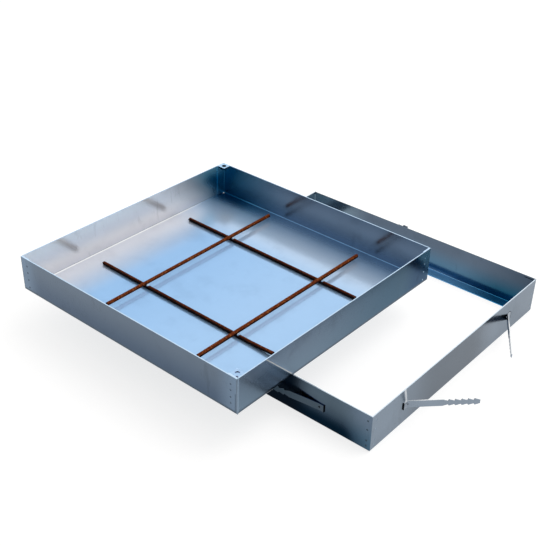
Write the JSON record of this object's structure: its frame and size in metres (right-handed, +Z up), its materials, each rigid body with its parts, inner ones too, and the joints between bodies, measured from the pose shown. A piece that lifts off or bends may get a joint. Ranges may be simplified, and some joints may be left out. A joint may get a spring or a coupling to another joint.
{
  "type": "inspection cover",
  "caption": "Square recessed inspection cover: an open infill tray of folded sheet steel with crossed reinforcing bars, set down askew on its ground frame with barbed anchors.",
  "frame": {"origin": "middle of the whole part's box, on the ground that the frame stands on", "axes": "+X and +Y along the frame's sides, -Y is the front, +Z up"},
  "size_m": [0.8808, 0.825, 0.162],
  "materials": {
    "tray_sheet": "bright bare sheet steel, satin, with faint mottling",
    "frame_sheet": "bright bare sheet steel, satin, with faint mottling",
    "anchor_strap": "bright bare strap, satin",
    "plate_steel": "bright bare plate, satin",
    "bar_steel": "hot-rolled ribbed bar with brown rust"
  },
  "bodies": {
    "root": {"cover_tray": "tray_sheet", "bar_lower_front": "bar_steel", "bar_lower_back": "bar_steel", "bar_upper_left": "bar_steel", "bar_upper_right": "bar_steel", "lifting_plate_front_right": "plate_steel", "lifting_plate_back_left": "plate_steel", "frame_side_front": "frame_sheet", "frame_side_right": "frame_sheet", "frame_side_back": "frame_sheet", "frame_side_left": "frame_sheet", "corner_angle_front_left": "frame_sheet", "corner_angle_front_right": "frame_sheet", "corner_angle_back_right": "frame_sheet", "corner_angle_back_left": "frame_sheet", "anchor_front_left": "anchor_strap", "anchor_front_right": "anchor_strap", "anchor_right_front": "anchor_strap", "anchor_right_back": "anchor_strap", "anchor_back_right": "anchor_strap", "anchor_back_left": "anchor_strap", "anchor_left_back": "anchor_strap", "anchor_left_front": "anchor_strap"}
  },
  "joints": []
}
